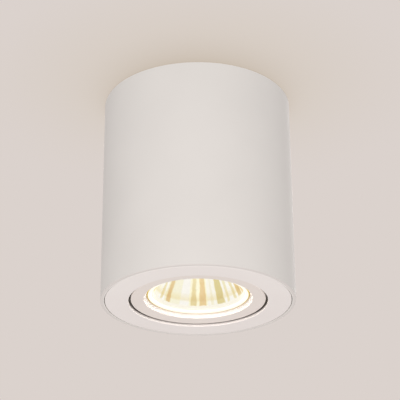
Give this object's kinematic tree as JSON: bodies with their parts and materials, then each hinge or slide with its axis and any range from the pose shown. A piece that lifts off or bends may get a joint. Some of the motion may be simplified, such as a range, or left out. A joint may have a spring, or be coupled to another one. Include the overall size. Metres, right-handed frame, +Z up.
{
  "type": "surface-mounted ceiling spot",
  "caption": "White cylindrical ceiling spot on a bracket, with an inset front ring and a tilting inner ring that holds a twist-lock reflector lamp.",
  "frame": {"origin": "centre of the ceiling plane, on the tube's axis, at the bracket's top face", "axes": "+Z up along the tube's axis into the ceiling; the spot hangs along -Z; the ring tilts about Y; the picture looks along +Y from below, with +X to the right"},
  "size_m": [0.096, 0.096, 0.108],
  "materials": {
    "tube_white": "fine matt white powder coat",
    "bezel_white": "fine matt white powder coat",
    "ring_white": "fine matt white powder coat",
    "screw_white": "white painted screw",
    "zinc_steel": "zinc-plated sheet steel",
    "screw_steel": "zinc-plated screw",
    "brass": "bare brass",
    "tinned_copper": "tinned copper",
    "black_rubber": "soft black rubber",
    "block_plastic": "natural polyamide",
    "fibre": "dark friction fibre",
    "live_brown": "brown silicone sleeve",
    "neutral_blue": "blue silicone sleeve",
    "earth_green_yellow": "green and yellow striped sleeve",
    "holder_ceramic": "unglazed steatite",
    "base_ceramic": "glazed white ceramic",
    "reflector_coating": "faceted aluminised or dichroic coating",
    "front_glass": "clear pressed glass",
    "quartz": "clear quartz",
    "tungsten": "glowing tungsten",
    "molybdenum": "drawn molybdenum wire",
    "pin_metal": "nickel-plated pin"
  },
  "bodies": {
    "housing": {"housing_tube": "tube_white", "front_bezel": "bezel_white", "bezel_screws": "screw_steel", "side_screws": "screw_white", "ceiling_bracket": "zinc_steel", "cable_grommet": "black_rubber", "terminal_block": "block_plastic", "terminal_inserts": "brass", "terminal_screws": "screw_steel", "terminal_fixing_screw": "screw_steel", "earth_tag": "tinned_copper", "earth_screw": "brass", "earth_lead": "earth_green_yellow", "live_lead": "live_brown", "neutral_lead": "neutral_blue"},
    "gimbal": {"tilt_ring": "ring_white", "pivot_screws": "screw_steel", "friction_washers": "fibre", "holder_bracket": "zinc_steel", "bracket_screws": "screw_steel", "lampholder_body": "holder_ceramic", "lampholder_cover": "holder_ceramic", "lampholder_contacts": "brass", "lampholder_screws": "screw_steel"},
    "lamp": {"lamp_reflector": "reflector_coating", "lamp_front_glass": "front_glass", "lamp_burner": "quartz", "lamp_filament": "tungsten", "burner_leads": "molybdenum", "lamp_base": "base_ceramic", "lamp_pins": "pin_metal"}
  },
  "joints": [
    {"name": "gimbal_tilt", "type": "hinge", "parent": "housing", "child": "gimbal", "pos_m": [0, 0, -0.1028], "axis": [0, 1, 0], "range_deg": [-25, 25], "deforming": ["live_lead", "neutral_lead"]},
    {"name": "lamp_twist", "type": "hinge", "parent": "gimbal", "child": "lamp", "pos_m": [0, 0, -0.1046], "axis": [0, 0, -1], "range_deg": [0, 40]}
  ]
}
